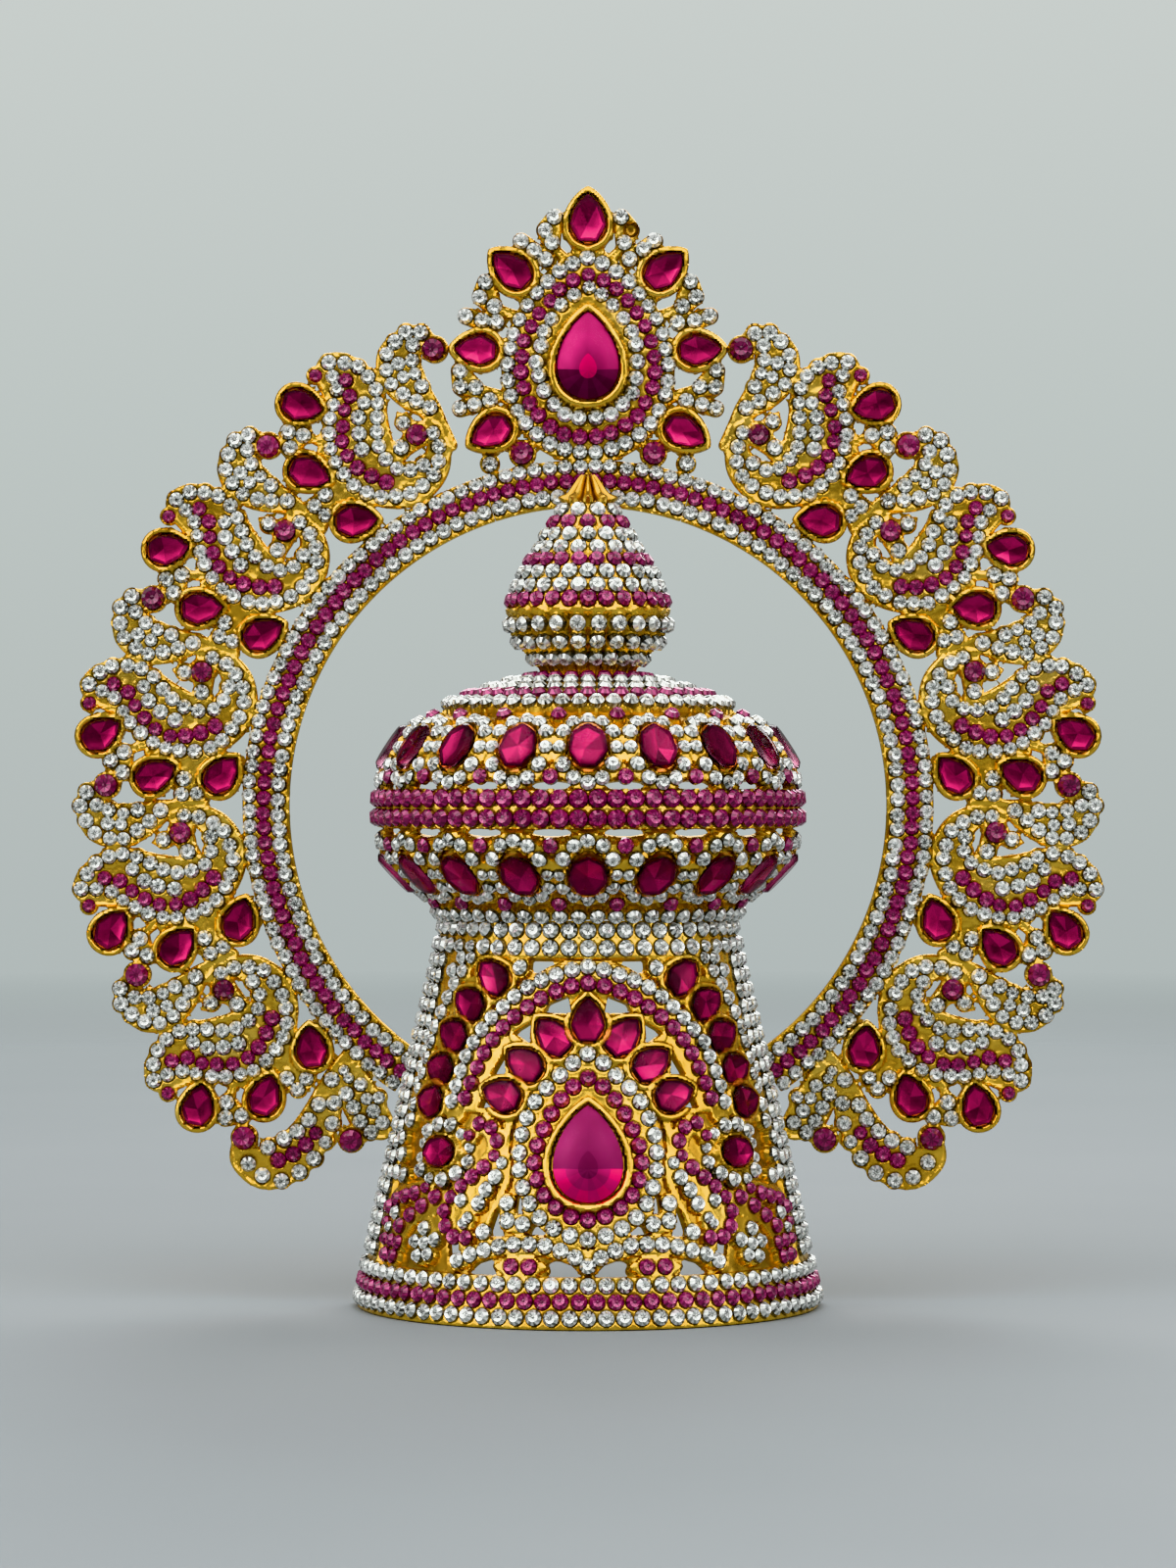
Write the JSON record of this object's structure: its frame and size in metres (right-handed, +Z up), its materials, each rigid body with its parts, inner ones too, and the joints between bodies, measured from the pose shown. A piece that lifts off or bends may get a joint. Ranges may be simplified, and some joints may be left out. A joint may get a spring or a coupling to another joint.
{
  "type": "deity crown",
  "caption": "Open-backed gold-plated statue crown: a tapered cup, a bulb and a finial in front of a pierced paisley halo, set all over with glass stones.",
  "frame": {"origin": "on the floor under the middle of the crown, halfway between the rim's front and the halo's back", "axes": "+Z up, the crown's front faces -Y, +X to the viewer's right"},
  "size_m": [0.2102, 0.0522, 0.2281],
  "materials": {
    "gold_plate": "bright gold plate, a little worn",
    "red_glass": "faceted, foil behind",
    "purple_glass": "faceted, foil behind",
    "clear_glass": "faceted, foil behind"
  },
  "bodies": {
    "root": {"cup_shell": "gold_plate", "bulb_shell": "gold_plate", "finial_shell": "gold_plate", "halo_crest": "gold_plate", "halo_wing_left": "gold_plate", "halo_wing_right": "gold_plate", "cup_pear_stone": "red_glass", "crest_pear_stone": "red_glass", "crest_drop_stone_top": "red_glass", "crest_drop_stone_left_1": "red_glass", "crest_drop_stone_left_2": "red_glass", "crest_drop_stone_left_3": "red_glass", "halo_drop_stone_left_1": "red_glass", "halo_drop_stone_left_2": "red_glass", "halo_drop_stone_left_3": "red_glass", "halo_drop_stone_left_4": "red_glass", "halo_drop_stone_left_5": "red_glass", "halo_drop_stone_left_6": "red_glass", "halo_drop_stone_left_7": "red_glass", "halo_drop_stone_left_8": "red_glass", "halo_drop_stone_left_9": "red_glass", "halo_drop_stone_left_10": "red_glass", "halo_drop_stone_left_11": "red_glass", "halo_drop_stone_left_12": "red_glass", "halo_drop_stone_left_13": "red_glass", "halo_drop_stone_left_14": "red_glass", "halo_drop_stone_left_15": "red_glass", "crest_drop_stone_right_1": "red_glass", "crest_drop_stone_right_2": "red_glass", "crest_drop_stone_right_3": "red_glass", "halo_drop_stone_right_1": "red_glass", "halo_drop_stone_right_2": "red_glass", "halo_drop_stone_right_3": "red_glass", "halo_drop_stone_right_4": "red_glass", "halo_drop_stone_right_5": "red_glass", "halo_drop_stone_right_6": "red_glass", "halo_drop_stone_right_7": "red_glass", "halo_drop_stone_right_8": "red_glass", "halo_drop_stone_right_9": "red_glass", "halo_drop_stone_right_10": "red_glass", "halo_drop_stone_right_11": "red_glass", "halo_drop_stone_right_12": "red_glass", "halo_drop_stone_right_13": "red_glass", "halo_drop_stone_right_14": "red_glass", "halo_drop_stone_right_15": "red_glass"}
  },
  "joints": []
}
